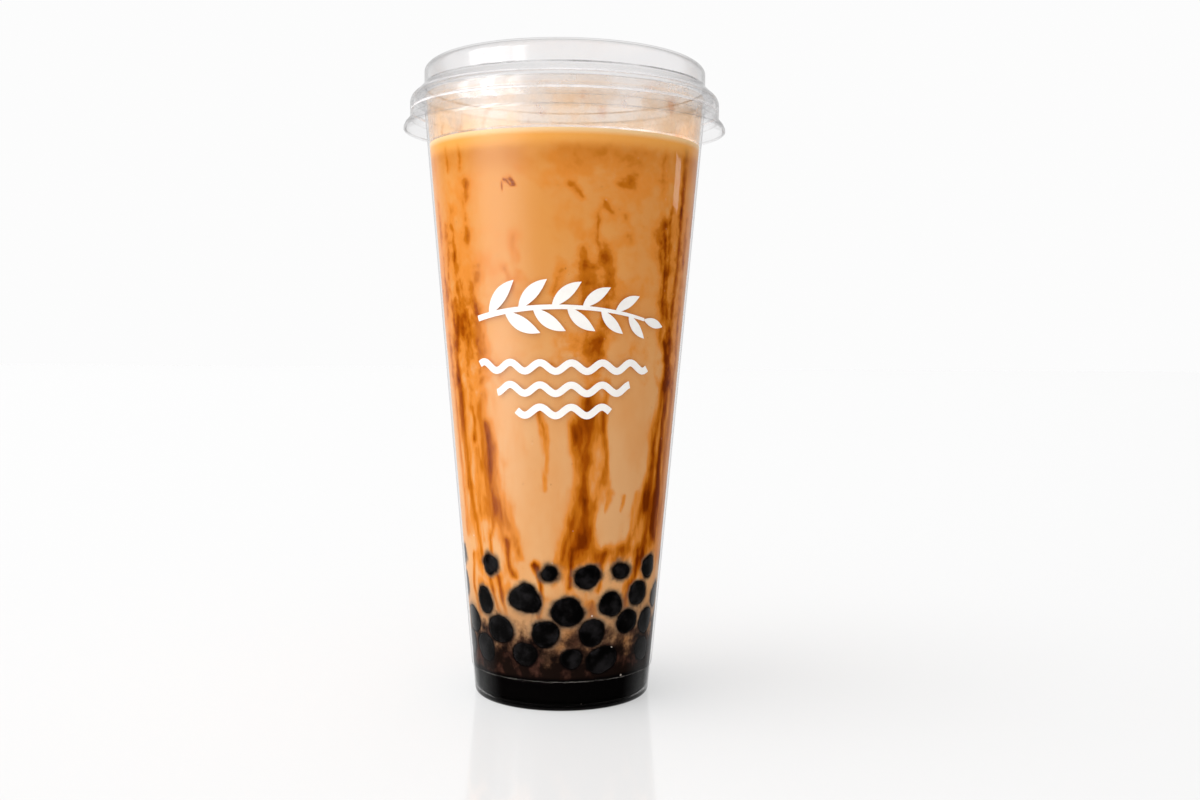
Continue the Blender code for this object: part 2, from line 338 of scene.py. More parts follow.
def lidSide(inset):
    v = lidValues
    corner = (v["raisedRadius"] - v["cornerRun"], v["top"] - v["cornerDrop"])
    side = arcPoints(corner, v["cornerRun"] - inset, 90, 0, 12, v["cornerDrop"] - inset)
    side.append((v["raisedRadius"] - inset, v["ledge"] + v["ledgeEnd"]))
    ledge = (v["raisedRadius"] + v["ledgeRound"], v["ledge"] + v["ledgeRound"])
    side += arcPoints(ledge, v["ledgeRound"] + inset, *v["ledgeTurn"], 4)
    shoulder = (v["bandRadius"] - v["shoulderCorner"], v["bandTop"])
    side += arcPoints(shoulder, v["shoulderCorner"] - inset, v["shoulderFrom"], 0, 8)
    band, groove = v["bandRadius"] - inset, v["groove"]
    mouth, bed = v["grooveHalves"]
    side += [(band, groove + mouth), (band - v["grooveDepth"], groove + bed)]
    side += [(band - v["grooveDepth"], groove - bed), (band, groove - mouth)]
    side.append((band, v["bandBottom"] + v["flareAbove"]))
    side.append((band + v["flare"], v["bandBottom"] - v["flareBelow"]))
    lipTop, lipEdge = v["lipRise"]
    side.append((v["skirtRadius"] - v["lip"] - inset, v["skirtBottom"] + lipTop))
    side.append((v["skirtRadius"] - inset, v["skirtBottom"] + lipEdge))
    side.append((v["skirtRadius"] - inset, v["skirtBottom"]))
    return side


def paintedLidLines(sheet, place, clear):
    # painted highlight and painted shade: the moulded steps show as thin lines, dark at the ledge and bright
    # lower down
    v = lidValues
    height = sheet.height(place)
    broken = sheet.step(sheet.noise(place, *v["lineNoise"]), *v["lineBreaks"])
    for level, halfWidth, grey, share in v["lightAndShadeLines"]:
        away = sheet.math("ABSOLUTE", sheet.math("SUBTRACT", height, level))
        line = sheet.step(away, v["lineCore"] * halfWidth, halfWidth, share, 0.0)
        less = grey * v["lineWarmth"]                        # a trace of warmth
        tone = sheet.shader("Diffuse", {"Color": (grey, less, less, 1)})
        # each painted line: shade where its grey is dark, highlight where it is bright
        clear = sheet.blend(sheet.times(line, broken), clear, tone)
    return clear


def lidShine(sheet, place):
    # the flat top reflects little of the room from below
    v = lidValues
    top = v["top"] - v["wall"]
    return sheet.step(sheet.height(place), top - v["topEdge"], top, 1.0, v["topShine"])


def makeLid():
    v = lidValues
    outer = lidSide(0.0)
    outline = [(0, v["top"])] + outer + list(reversed(lidSide(v["wall"]))) + [(0, v["top"] - v["wall"])]
    piece = spunMesh("clearLid", outline, v["sides"])
    for name, film in (("clear lid plastic", paintedLidLines), ("inside of the lid", None)):
        piece.data.materials.append(clearPlastic(name, v["look"], film, lidShine, v["top"] - v["wall"]))
    for face in piece.data.polygons:
        outward = Vector((face.center.x, face.center.y, 0)).normalized() + Vector((0, 0, 1))
        face.material_index = 0 if face.normal.dot(outward) > 0 else 1
    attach(piece, "root")
    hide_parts("lid")


# Pearls, in the same seeded rows as the solid heap, with one more row down in the syrup

pearlValues = {
    "diameter": 8.8 * mm, "spread": 0.1, "gap": 0.3 * mm, "seed": 7, "lowSeed": 11, "lumpSeed": 23,
    "rowSpacing": 28, "turnSway": 4, "riseSway": 1.6,
    "looseTop": 7, "crown": 42.5 * mm, "crownSway": (-1.0, 1.2), "crownRadius": 19 * mm,
    "lumps": 5, "lumpPull": 3.2, "lumpSize": (0.025, 0.055), "sink": 0.14 * mm,
    "flat": (0.42, 0.55),            # share of its radius that a pressed pearl's middle keeps from the wall
    "rows": (                        # the row's height, then azimuth, height and diameter of the front pearls
        (24.6 * mm, (
            (-68, 25.5 * mm, 9.4 * mm), (-39, 24.3 * mm, 9.8 * mm), (-10, 23.9 * mm, 9.4 * mm),
            (18, 24.4 * mm, 9.2 * mm), (42, 26.0 * mm, 8.6 * mm), (61, 25.2 * mm, 8.8 * mm))),
        (33.4 * mm, (
            (-81, 35.8 * mm, 8.4 * mm), (-51, 32.5 * mm, 8.7 * mm), (-21, 34.6 * mm, 10.2 * mm),
            (3, 30.8 * mm, 10.4 * mm), (29, 33.1 * mm, 8.4 * mm), (50, 34.8 * mm, 8.5 * mm),
            (73, 32.6 * mm, 8.3 * mm))),
        (43.2 * mm, (
            (-44, 44.4 * mm, 8.2 * mm), (-7, 43.4 * mm, 7.8 * mm), (14, 41.7 * mm, 8.9 * mm),
            (34, 43.3 * mm, 8.7 * mm), (59, 43.5 * mm, 8.4 * mm))),
    ),
    "lowRow": (16.6 * mm, (
        (-76, 17.0 * mm, 9.0 * mm), (-54, 17.7 * mm, 10.0 * mm), (-22, 18.0 * mm, 9.2 * mm),
        (6, 16.8 * mm, 7.0 * mm), (25, 15.8 * mm, 9.4 * mm), (60, 16.7 * mm, 8.6 * mm))),
    "topRowFrom": 40 * mm, "topRowFlat": (0.62, 0.84),
    "filmDepth": 0.85 * mm,          # milk this thick hides two thirds of a pearl
    "dark": linear(4, 3, 3), "pale": linear(31, 29, 30), "cloudNoise": (260.0, 4.0), "clouds": (0.42, 0.72),
    "bumpNoise": (480.0, 3.0), "bump": 0.25, "bumpDepth": 0.4 * mm, "roughness": 0.35, "specular": 0.06,
}


def pearlPlaces():
    v = pearlValues
    chance = random.Random(v["seed"])
    places = []

    def againstWall(azimuth, height, diameter):
        reach = innerRadius(height) - v["gap"] - diameter / 2
        turn = math.radians(azimuth)
        places.append((Vector((reach * math.sin(turn), -reach * math.cos(turn), height)), diameter / 2, True))

    def unevenDiameter(draw):
        return v["diameter"] * (1 + draw.uniform(-v["spread"], v["spread"]))

    def row(rowHeight, front, draw):
        for azimuth, height, diameter in front:
            againstWall(azimuth, height, diameter)
        azimuth = front[-1][0] + v["rowSpacing"]
        while azimuth < 360 + front[0][0] - 0.7 * v["rowSpacing"]:
            height = rowHeight + draw.uniform(-v["riseSway"], v["riseSway"]) * mm
            sway = draw.uniform(-v["turnSway"], v["turnSway"])
            againstWall(azimuth + sway, height, unevenDiameter(draw))
            azimuth += v["rowSpacing"]

    for rowHeight, front in v["rows"]:
        row(rowHeight, front, chance)
    golden = math.radians(137.5)
    for index in range(v["looseTop"]):
        spread = v["crownRadius"] * math.sqrt((index + 0.4) / v["looseTop"])
        height = v["crown"] + chance.uniform(*v["crownSway"]) * mm
        turn = index * golden
        centre = Vector((spread * math.sin(turn), -spread * math.cos(turn), height))
        places.append((centre, unevenDiameter(chance) / 2, False))
    row(*v["lowRow"], random.Random(v["lowSeed"]))
    return places


def settledPearls(places):
    # each pearl pressed flat on the wall, the top row less so, with its own lumps
    v = pearlValues
    chance = random.Random(v["lumpSeed"])
    pull = v["lumpPull"]
    pearls = []
    for centre, radius, atWall in places:
        lumps = [(np.array([chance.uniform(-pull, pull) for _ in range(3)]), chance.uniform(0, math.tau),
                  chance.uniform(*v["lumpSize"])) for _ in range(v["lumps"])]
        middle = centre.copy()
        if atWall:
            flat = chance.uniform(*(v["topRowFlat"] if centre.z > v["topRowFrom"] else v["flat"]))
            outward = Vector((centre.x, centre.y, 0)).normalized()
            middle = outward * (innerRadius(centre.z) - flat * radius)
            middle.z = centre.z
        pearls.append({"middle": np.array(middle), "radius": radius, "atWall": atWall, "lumps": lumps})
    return pearls


def pearlReach(pearl, directions):
    swell = np.ones(len(directions))
    for pull, phase, size in pearl["lumps"]:
        swell += size * np.sin(directions @ pull + phase)
    return pearl["radius"] * swell


def tapiocaLook():
    v = pearlValues
    sheet = NodeSheet("tapioca")
    place = sheet.place()
    cloud = sheet.step(sheet.noise(place, *v["cloudNoise"]), *v["clouds"])
    bumpy = sheet.add("ShaderNodeBump", {"Strength": v["bump"], "Distance": v["bumpDepth"],
                                         "Height": sheet.noise(place, *v["bumpNoise"])}).outputs[0]
    colour = sheet.mix(cloud, v["dark"], v["pale"])
    shader = sheet.shader("Principled", {"Base Color": colour, "Roughness": v["roughness"], "Normal": bumpy,
                                         "Specular IOR Level": v["specular"]})
    return sheet.finish(shader)


def makePearls(pearls):
    shape = bmesh.new()
    for pearl in pearls:
        front = pearl["atWall"] and pearl["middle"][1] < 0
        ball = bmesh.ops.create_icosphere(shape, subdivisions=4 if front else 3, radius=1)["verts"]
        directions = np.array([p.co.normalized() for p in ball])
        spots = pearl["middle"] + directions * pearlReach(pearl, directions)[:, None]
        if pearl["atWall"]:                               # the soft pearl flattens on the wall
            away = np.hypot(spots[:, 0], spots[:, 1])
            limit = innerRadius(spots[:, 2]) + pearlValues["sink"]
            spots[:, :2] *= np.minimum(1, limit / away)[:, None]
        for p, spot in zip(ball, spots):
            p.co = spot
    piece = pieceFromShape("tapiocaPearls", shape, 60)
    piece.data.materials.append(tapiocaLook())
    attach(piece, "root")
    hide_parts("tapioca_pearls")


# Milk tea: its wall carries painted fields, the syrup and how well each pearl shows through the milk

teaValues = {
    "level": 172.9 * mm, "bottom": 1.45 * mm, "intoWall": 0.1 * mm, "sides": 384,
    "fineTop": 50 * mm, "fineStep": 0.5 * mm, "coarseStep": 0.9 * mm, "meniscus": 0.9 * mm,
    # how syrup runs waver, in mm: the size of a bend, its push, how much more upwards and on a run's width
    "pushSize": 9.0, "push": 1.4, "pushUp": 1.5, "pushWidth": 0.45, "pushSeed": 5, "hazeSpread": 1.25,
    "runSeed": 31, "stainSeed": 37, "backFrom": 86.0, "backTo": 282,

    # steps go from one place to another, then give the values below and above
    "milkTurns": (70 * mm, 150 * mm), "milkLow": linear(229, 174, 119), "milkHigh": linear(226, 155, 80),
    "cloudNoise": (45.0, 4.0, 0.6), "clouds": (0.38, 0.66, 0.0, 0.48), "cloudColour": linear(223, 149, 79),
    "bendNoise": (150.0, 2.0), "bend": (4 * mm, 4 * mm, 3 * mm), "cloudyFrom": 96 * mm,
    "broadStretch": 0.36, "broadNoise": (105.0, 4.0, 0.5),
    "fineStretch": 0.24, "fineNoise": (330.0, 4.0, 0.5),
    "broadShare": 1.3, "raggedMiddle": 1.15, "patchy": (0.03, 0.6, 0.5, 1.3), "veinShare": 0.5,
    "syrup": (
        (0.06, 0.5, linear(225, 140, 57)), (0.46, 0.84, linear(196, 110, 22)),
        (0.82, 1.14, linear(162, 77, 6)), (1.1, 1.5, linear(118, 46, 2))),
    "speckNoise": (1300.0, 1.0), "specks": (0.76, 0.82, 0.0, 0.6), "speckColour": linear(142, 79, 28),
    "topBand": ((158 * mm, 167 * mm), (167.5 * mm, 170.5 * mm, 1.0, 0.0)),
    "topBandColour": linear(202, 123, 42),
    # a painted glow, then a painted highlight, at the drink's top edge
    "topEdge": (
        (166.5 * mm, 171.3 * mm, 0.0, 1.0, linear(244, 172, 86)),
        (170.8 * mm, 172.7 * mm, 0.0, 0.9, linear(252, 216, 164))),
    "openPale": linear(238, 194, 146), "openDark": linear(208, 138, 72),
    "dusk": (26 * mm, 40 * mm, 0.75, 0.0), "duskColour": linear(163, 125, 91),
    "fringeNoise": (330.0, 4.0), "fringe": (0.08, 0.62, 0.0, 0.85), "fringeColour": linear(112, 92, 74),
    "tornNoise": (230.0, 4.0), "torn": 30 * mm, "settled": (20 * mm, 30 * mm, 0.93, 0.0),
    "settledColour": linear(70, 47, 36), "dark": (16 * mm, 24 * mm, 0.97, 0.0),
    "darkColour": linear(19, 12, 10), "wispColour": linear(74, 46, 37),
    "floor": (9.6 * mm, 11 * mm, 1.0, 0.0), "floorColour": linear(5, 4, 4),
    "pearl": (0.42, 0.97), "pearlColour": linear(9, 8, 8), "bubbleGlintColour": linear(236, 222, 208),
}

# Syrup runs: haze, its half width in mm, vein, its half width in mm,
# then (azimuth in degrees, height in mm) from the top down
syrupRuns = (
    # right of the middle
    (0.36, 1.5, 0.45, 0.8, ((20, 149), (17, 150.5), (14, 149), (12, 145), (13.5, 140), (16, 136))),
    (0.36, 1.5, 0.3, 0.7, ((7, 143), (9, 137), (8, 128), (9, 118))),
    (0.46, 2.0, 0.35, 1.1, ((16, 140), (17, 137), (18, 133), (19, 124), (17, 113), (14.5, 104))),
    (0.45, 2.0, 0.35, 1.5, ((17, 137), (19, 133), (20, 128))),
    (0.36, 2.4, 0.2, 1.2, ((8, 136), (9, 128), (10, 120), (12, 108))),
    (0.42, 2.4, 0.22, 1.4, ((16, 116), (14, 101), (13, 90))),
    (0.55, 2.4, 0.6, 1.4, ((12.5, 94), (13.5, 84), (12, 71), (12, 62))),
    (0.6, 2.2, 1.2, 1.4, ((12, 66), (12, 58), (10.5, 50))),
    (0.5, 2.0, 0.3, 0.9, ((7.5, 88), (9, 80), (12, 72))),
    (0.6, 2.0, 0.45, 1.0, ((10, 68), (7, 60), (3, 53), (0, 47))),
    (0.5, 2.0, 0.4, 0.9, ((12, 55), (15, 50), (17, 45))),
    (0.6, 1.2, 0.4, 0.6, ((21, 99), (20.5, 90), (20.5, 80), (21, 70))),
    (0.45, 0.8, 0.25, 0.4, ((25, 66), (22, 61))),
    (0.45, 0.8, 0.25, 0.4, ((33, 66), (31, 61))),
    (0.4, 1.2, 0.05, 0.5, ((27, 148), (29, 141))),
    (0.4, 1.0, 0.1, 0.5, ((22, 157.5), (26, 157), (29, 158))),
    (0.55, 1.0, 0.35, 0.6, ((3, 157), (5.5, 155.5), (7.5, 153))),
    # right side
    (0.4, 1.6, 0.2, 1.0, ((46, 171), (45, 158), (48, 148), (47, 137), (50, 123), (54, 110))),
    (0.5, 1.8, 0.8, 1.1, ((49, 147), (50, 140), (51, 130), (53, 120))),
    (0.6, 2.0, 1.3, 1.3, ((56, 112), (60, 100), (60, 90), (60, 78), (59.5, 66), (58, 54))),
    (0.65, 1.8, 0.8, 1.2, ((60, 171), (61, 158), (62, 140), (61, 122), (60, 104))),
    (0.5, 1.6, 0.5, 0.9, ((52, 152), (54, 128), (57, 117), (60, 106))),
    (0.6, 2.0, 0.8, 1.3, ((58, 101), (55, 86), (52.5, 72), (51, 60))),
    (0.2, 1.4, 0.1, 0.8, ((53, 90), (49, 82), (48, 74), (49, 66))),
    (0.45, 2.0, 0.35, 1.0, ((69, 150), (70, 128), (70, 104), (69, 80), (67, 58))),
    (0.45, 1.6, 0.35, 1.0, ((50, 64), (45, 57), (38, 51), (30, 46))),
    (0.6, 1.8, 1.0, 1.2, ((62, 102), (62.5, 90), (62, 74), (62, 62), (61, 52))),
    (0.6, 2.0, 0.5, 1.1, ((56, 64), (53, 54), (50, 47))),
    (0.25, 1.2, 0.25, 0.7, ((41, 66), (41, 58), (37, 51))),
    (0.45, 1.4, 0.3, 0.7, ((79, 160), (80, 120), (79, 80), (78, 52))),
    # left side
    (0.5, 0.9, 0.4, 0.6, ((-57, 173), (-56, 163))),
    (0.55, 0.9, 0.45, 0.6, ((-49, 173), (-47.5, 163))),
    (0.45, 1.4, 0.2, 0.9, ((-45.5, 158), (-46.5, 150), (-47, 142))),
    (0.45, 1.6, 0.3, 0.9, ((-58, 152), (-57, 140), (-56, 126), (-55, 114))),
    (0.45, 1.4, 0.3, 0.8, ((-63, 146), (-64, 128), (-62, 112), (-60, 96))),
    (0.5, 1.8, 0.5, 0.9, ((-59, 124), (-61, 108), (-60, 94), (-60, 80), (-57, 66), (-54, 54), (-51, 45))),
    (0.5, 1.6, 0.35, 0.8, ((-52, 126), (-51, 106), (-52, 92))),
    (0.5, 1.1, 0.5, 0.8, ((-50, 92), (-50, 87), (-51, 83))),
    (0.45, 2.0, 0.2, 0.8, ((-44, 124), (-43, 104), (-44, 92), (-46, 78), (-48, 60))),
    (0.5, 1.8, 0.95, 0.9, ((-41, 86), (-40.5, 76), (-40.5, 66), (-41, 55), (-42, 47))),
    (0.4, 1.6, 0.25, 0.8, ((-39, 79), (-34, 69), (-29, 58), (-24, 48))),
    (0.35, 1.2, 0.1, 0.7, ((-37, 64), (-34, 57), (-31, 50))),
    (0.3, 1.2, 0.15, 0.7, ((-50, 80), (-50, 64), (-48, 50))),
    (0.45, 1.4, 0.3, 0.8, ((-70, 168), (-71, 140), (-70, 110), (-68, 80), (-66, 54))),
    (0.45, 1.4, 0.1, 0.8, ((-22, 143), (-20.5, 137), (-19, 131))),
    (0.4, 1.8, 0.1, 0.8, ((-42, 134), (-44, 124))),
    (0.45, 1.2, 0.25, 0.8, ((-26, 133), (-25, 127))),
    (0.6, 1.8, 0.6, 1.2, ((-61, 116), (-62, 100), (-62.5, 84), (-61, 68))),
    # the middle
    (0.55, 0.9, 0.25, 0.5, ((-10, 92), (-8.8, 84), (-9, 74), (-8.5, 69))),
    (0.95, 0.4, 1.0, 0.4, ((-25.8, 156), (-24.5, 158.2), (-22.6, 158.8), (-21, 157.2))),
    (0.9, 0.4, 0.8, 0.4, ((-24, 158), (-22.5, 157), (-21, 157.2))),
    (0.4, 1.6, 0.1, 0.7, ((-1, 135), (-3, 126))),
    (0.3, 2.4, 0.0, 0.7, ((-2, 112), (-4, 104))),
    # between the pearls
    (0.7, 1.3, 1.5, 1.2, ((-17, 46), (-12.5, 41), (-11.5, 35), (-13, 29))),
    (0.65, 1.3, 0.9, 0.9, ((-31, 53), (-30, 47), (-27, 42))),
    (0.55, 1.1, 0.7, 0.8, ((-45, 40), (-42, 34), (-38, 29))),
    (0.6, 1.2, 0.9, 0.9, ((7, 50), (5.5, 42), (5, 38))),
    (0.65, 1.2, 1.0, 0.9, ((24, 48), (22.5, 41), (20, 37))),
    (0.6, 1.2, 0.9, 0.9, ((46, 49), (44, 42), (40, 36), (38, 30))),
    (0.5, 1.0, 0.6, 0.7, ((16, 33), (17, 28))),
    (0.55, 1.2, 0.8, 0.8, ((-61, 46), (-62, 36), (-58, 28))),
    (0.5, 1.2, 0.5, 0.8, ((-37, 41), (-35, 35), (-33, 28))),
    (0.55, 2.2, 0.35, 2.0, ((6, 48.5), (14, 47.5), (22, 48), (32, 49), (44, 49), (54, 50))),
)

# Broad stains: haze, azimuth and height of the middle, half width in degrees, half height in mm
syrupStains = (
    (0.44, 20, 166, 36, 8), (0.26, 32, 150, 22, 18), (0.1, -4, 160, 16, 12),
    (0.2, 13, 130, 13, 12), (0.16, 11, 108, 11, 16), (0.16, 32, 116, 14, 20), (0.28, 10, 64, 10, 18),
    (0.38, 55, 136, 9, 36), (0.34, 56, 84, 7, 24), (0.3, 50, 53, 12, 7), (0.36, 34, 46.5, 26, 4),
    (0.5, 61, 64, 4, 16), (0.3, 69, 110, 7, 60),
    (0.3, -57, 130, 9, 38), (0.55, -61, 84, 6, 26), (0.22, -38, 62, 13, 14), (0.26, -36, 132, 14, 9),
    (0.28, -42, 112, 10, 18), (0.26, -42, 95, 9, 12), (0.2, -44, 152, 9, 14), (0.16, -18, 128, 10, 10),
    (0.3, 12, 50, 14, 6), (0.14, -22, 104, 8, 10),
)


def furtherRuns():
    # the same kind of runs, by seeded rule, round the sides and back
    chance = random.Random(teaValues["runSeed"])
    runs = []
    azimuth = teaValues["backFrom"]
    while azimuth < teaValues["backTo"]:
        top = chance.choice((170, 162, 150, 124, 96))
        bottom = chance.uniform(44, 60) if chance.random() < 0.75 else top - chance.uniform(20, 50)
        steps = 7
        points = []
        sway = azimuth
        for i in range(steps):
            sway += chance.uniform(-2.2, 2.2)
            points.append((sway, top + (bottom - top) * i / (steps - 1)))
        runs.append((chance.uniform(0.3, 0.6), chance.uniform(1.4, 3.2), chance.uniform(0.1, 0.9),
                     chance.uniform(0.6, 1.1), tuple(points)))
        azimuth += chance.uniform(5, 13)
    return tuple(runs)


def furtherStains():
    chance = random.Random(teaValues["stainSeed"])
    return tuple((chance.uniform(0.3, 0.6), azimuth + chance.uniform(-5, 5),
                  chance.choice((60, 90, 120, 150)), chance.uniform(9, 15), chance.uniform(12, 34))
                 for azimuth in range(84, 284, 9))


def paintSyrup(points):
    # how much syrup haze and how much dark vein lies at each point of the wall
    v = teaValues
    azimuth = np.degrees(np.arctan2(points[:, 0], -points[:, 1]))
    height = points[:, 2] / mm
    radius = np.hypot(points[:, 0], points[:, 1]) / mm
    turns = np.radians(azimuth)
    size = v["pushSize"]
    noise.seed_set(v["pushSeed"])                          # Blender draws a seed from the clock otherwise
    even = evenRadius / mm
    seats = np.stack([even * np.sin(turns) / size, even * np.cos(turns) / size, height * 0.6 / size], -1)
    push = v["push"] * np.array([noise.turbulence_vector(seat, 4, False) for seat in seats.tolist()])
    haze, vein = np.zeros(len(points)), np.zeros(len(points))
    for hazeShare, hazeWidth, veinShare, veinWidth, run in syrupRuns + furtherRuns():
        nearest = np.full(len(points), 99.0)
        for (a0, z0), (a1, z1) in zip(run, run[1:]):
            middle = (a0 + a1) / 2
            sideways = np.radians((azimuth - middle + 180) % 360 - 180) * radius + push[:, 0]
            startSide = math.radians(a0 - middle) * radius
            runSide, runUp = math.radians(a1 - a0) * radius, z1 - z0
            aside, lift = sideways - startSide, height + push[:, 1] * v["pushUp"] - z0
            share = np.clip((aside * runSide + lift * runUp) / (runSide ** 2 + runUp ** 2), 0, 1)
            nearest = np.minimum(nearest, np.hypot(aside - share * runSide, lift - share * runUp))
        nearest *= 1 + v["pushWidth"] * push[:, 2]
        haze = 1 - (1 - haze) * (1 - hazeShare * np.exp(-(nearest / (v["hazeSpread"] * hazeWidth)) ** 2))
        vein = np.maximum(vein, veinShare * np.exp(-(nearest / veinWidth) ** 2))
    for share, middle, level, wide, tall in syrupStains + furtherStains():
        sideways = (azimuth - middle + 180) % 360 - 180 + 1.5 * push[:, 0]
        lift = height - level + 2 * push[:, 1]
        haze = 1 - (1 - haze) * (1 - share * np.exp(-(sideways / wide) ** 2 - (lift / tall) ** 2))
    return haze, vein


def paintPearls(points, pearls):
    # how far each pearl shows through the milk, and the distance to the nearest one in mm
    show, away = np.zeros(len(points)), np.full(len(points), 30.0)
    for pearl in pearls:
        if not pearl["atWall"]:
            continue
        offset = points - pearl["middle"]
        distance = np.linalg.norm(offset, axis=1)
        close = distance < 2.5 * pearl["radius"]
        gap = distance[close] - pearlReach(pearl, offset[close] / distance[close, None])
        show[close] = np.maximum(show[close], np.exp(-np.maximum(gap, 0) / pearlValues["filmDepth"]))
        away[close] = np.minimum(away[close], gap / mm)
    return show, away


def teaLook():
    v = teaValues
    sheet = NodeSheet("milk tea")
    place = sheet.place()
    height = sheet.height(place)
    names = ("syrupHaze", "syrupVein", "pearlShow", "pearlAway")
    haze, vein, show, away = [sheet.attribute(name) for name in names]

    # milk: warmer towards the top, paler lower down, with slow clouds
    colour = sheet.mix(sheet.step(height, *v["milkTurns"]), v["milkLow"], v["milkHigh"])
    clouds = sheet.step(sheet.noise(sheet.along(place, 0.6), *v["cloudNoise"]), *v["clouds"])
    colour = sheet.mix(clouds, colour, v["cloudColour"])

    # syrup: soft ragged stains drawn out up the wall, darker where the painted runs lie
    bend = sheet.noise(sheet.along(place, 0.6), *v["bendNoise"], output="Color")
    bend = sheet.vector("MULTIPLY", sheet.vector("SUBTRACT", bend, (0.5, 0.5, 0.5)), v["bend"])
    wide = sheet.vector("ADD", sheet.along(place, v["broadStretch"], v["cloudyFrom"]), bend)
    broad = sheet.noise(wide, *v["broadNoise"])
    narrow = sheet.vector("ADD", sheet.along(place, v["fineStretch"], v["cloudyFrom"]), bend)
    fine = sheet.noise(narrow, *v["fineNoise"])
    ragged = sheet.math("ADD", sheet.times(broad, v["broadShare"]), fine)
    ragged = sheet.math("SUBTRACT", ragged, v["raggedMiddle"])
    patchy = sheet.times(ragged, sheet.step(haze, *v["patchy"]))
    amount = sheet.math("ADD", haze, sheet.times(vein, v["veinShare"]))
    lookThrough = sheet.times(sheet.step(away, 0.6, 5.0, 0.5, 0.0), sheet.step(broad, 0.45, 0.65))
    amount = sheet.math("ADD", sheet.math("ADD", amount, patchy), lookThrough)
    for start, full, tone in v["syrup"]:
        colour = sheet.mix(sheet.step(amount, start, full), colour, tone)
    specks = sheet.step(sheet.noise(place, *v["speckNoise"]), *v["specks"])
    colour = sheet.mix(specks, colour, v["speckColour"])

    # the drink's top edge: a deeper band, a painted orange glow above it and a painted highlight along the
    # rim
    lower, upper = v["topBand"]
    under = sheet.times(sheet.step(height, *lower), sheet.step(height, *upper))
    under = sheet.times(under, sheet.step(broad, 0.3, 0.55, 0.2, 0.6))
    colour = sheet.mix(under, colour, v["topBandColour"])
    # painted light: the orange glow under the meniscus and the highlight along its rim
    for *edges, tone in v["topEdge"]:
        colour = sheet.mix(sheet.step(height, *edges), colour, tone)

    # the open top of the drink: pale milk with caramel swirls, which shows only from above
    flat = sheet.vector("MULTIPLY", place, (1, 1, 0))
    reach = sheet.add("ShaderNodeVectorMath", {0: flat}, operation="LENGTH").outputs["Value"]
    rim = innerRadius(v["level"])
    inside = sheet.step(reach, rim - 2.6 * mm, rim - 0.9 * mm, 1.0, 0.0)
    openTop = sheet.times(sheet.step(height, v["level"] - 1.4 * mm, v["level"] - mm), inside)
    wander = sheet.vector("MULTIPLY", sheet.noise(place, 45.0, 3.0, output="Color"), (0.03, 0.03, 0))
    swirl = sheet.step(sheet.noise(sheet.vector("ADD", place, wander), 70.0, 5.0, 0.6), 0.42, 0.72)
    colour = sheet.mix(openTop, colour, sheet.mix(swirl, v["openPale"], v["openDark"]))

    # milk between the pearls is duskier
    dusk = sheet.times(sheet.step(height, *v["dusk"]), sheet.step(away, 0.4, 5.0, 1.0, 0.45))
    colour = sheet.mix(dusk, colour, v["duskColour"])

    # where the milk over a pearl is thin, a greyish fringe
    broken = sheet.math("SUBTRACT", sheet.noise(place, *v["fringeNoise"]), 0.5)
    thin = sheet.times(sheet.times(show, sheet.math("SUBTRACT", 1.0, show)), 4.4)
    seen = sheet.math("ADD", show, sheet.times(thin, broken))
    colour = sheet.mix(sheet.step(seen, *v["fringe"]), colour, v["fringeColour"])

    # dark syrup settled at the bottom, with a ragged top and a few paler wisps
    torn = sheet.math("SUBTRACT", sheet.noise(place, *v["tornNoise"]), 0.5)
    settle = sheet.math("ADD", height, sheet.times(torn, v["torn"]))
    wisps = sheet.step(sheet.noise(place, 170.0, 4.0), 0.52, 0.74)
    darkest = sheet.mix(wisps, v["darkColour"], v["wispColour"])
    colour = sheet.mix(sheet.step(settle, *v["settled"]), colour, v["settledColour"])
    colour = sheet.mix(sheet.step(settle, *v["dark"]), colour, darkest)
    colour = sheet.mix(sheet.step(height, *v["floor"]), colour, v["floorColour"])
    colour = sheet.mix(sheet.step(seen, *v["pearl"]), colour, v["pearlColour"])

    # painted glints: tiny pale dots for bubbles that catch the light low in the cup
    bubbles = sheet.add("ShaderNodeTexVoronoi", {"Vector": place, "Scale": 330.0})
    tiny = sheet.step(bubbles.outputs["Distance"], 0.05, 0.13, 1.0, 0.0)
    drawn = sheet.add("ShaderNodeSeparateColor", {0: bubbles.outputs["Color"]}).outputs[0]
    chosen = sheet.times(sheet.step(drawn, 0.9, 0.93), sheet.step(height, 46 * mm, 60 * mm, 0.8, 0.12))
    colour = sheet.mix(sheet.times(tiny, chosen), colour, v["bubbleGlintColour"])
    shader = sheet.shader("Principled", {"Base Color": colour, "Roughness": 0.5, "Specular IOR Level": 0.0})
    return sheet.finish(shader)


